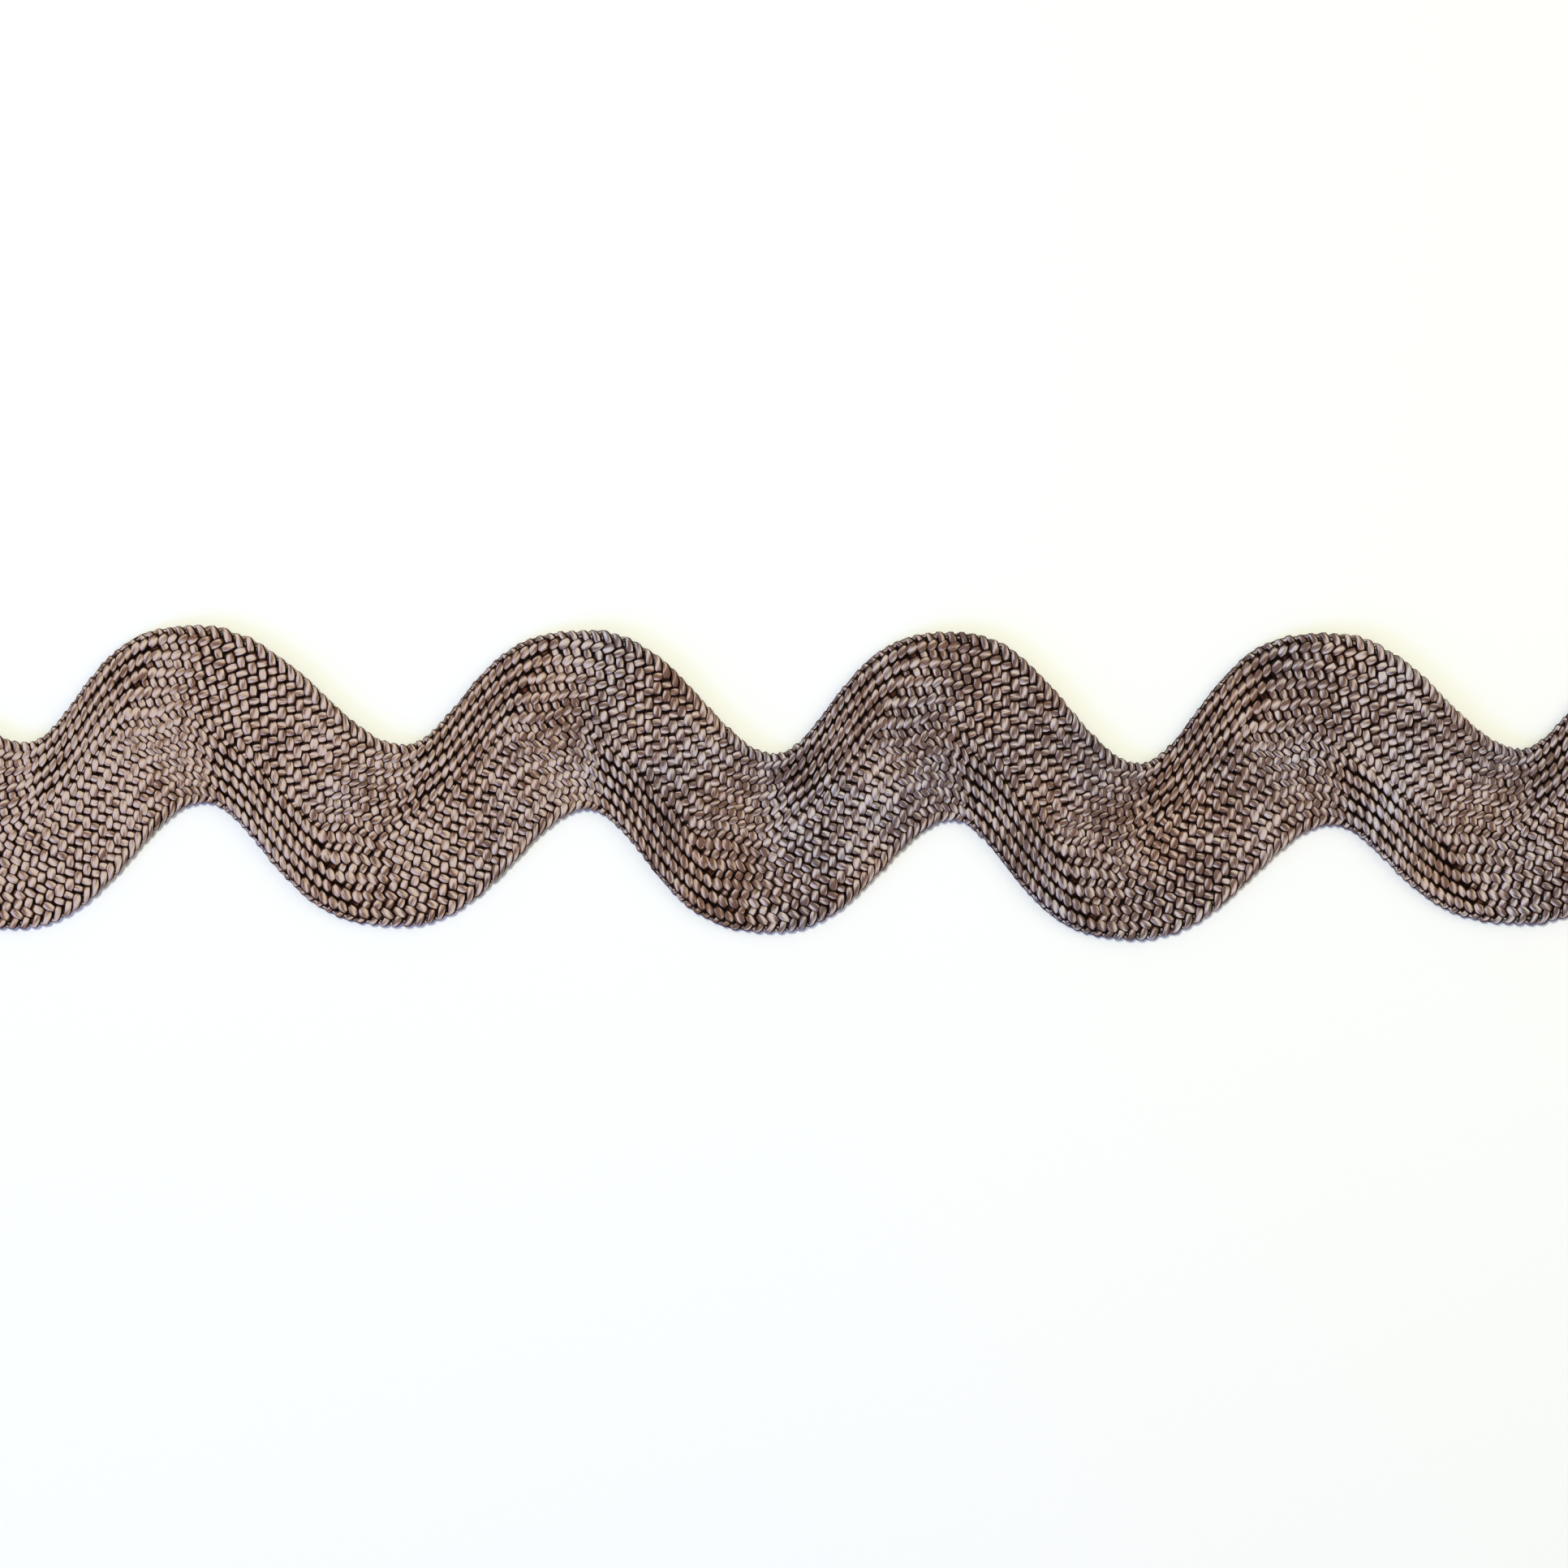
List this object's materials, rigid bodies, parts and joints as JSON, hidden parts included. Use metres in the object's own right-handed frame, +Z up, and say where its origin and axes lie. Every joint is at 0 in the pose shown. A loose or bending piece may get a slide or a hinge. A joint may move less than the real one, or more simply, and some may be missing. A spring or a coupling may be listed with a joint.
{
  "type": "ric rac braid",
  "caption": "Cut length of wide flat ric rac braid in soft heathered yarn, lying flat in its even waves, for trimming hems and edges.",
  "frame": {"origin": "centre of the braid's bounding box, on the surface that it lies on", "axes": "+X along the length, +Y across the waves, +Z up from the surface to the face of the braid"},
  "size_m": [0.1574, 0.0262, 0.0011],
  "materials": {
    "yarn": "soft heathered taupe braided yarn, matt"
  },
  "bodies": {
    "root": {"braid": "yarn"}
  },
  "joints": []
}
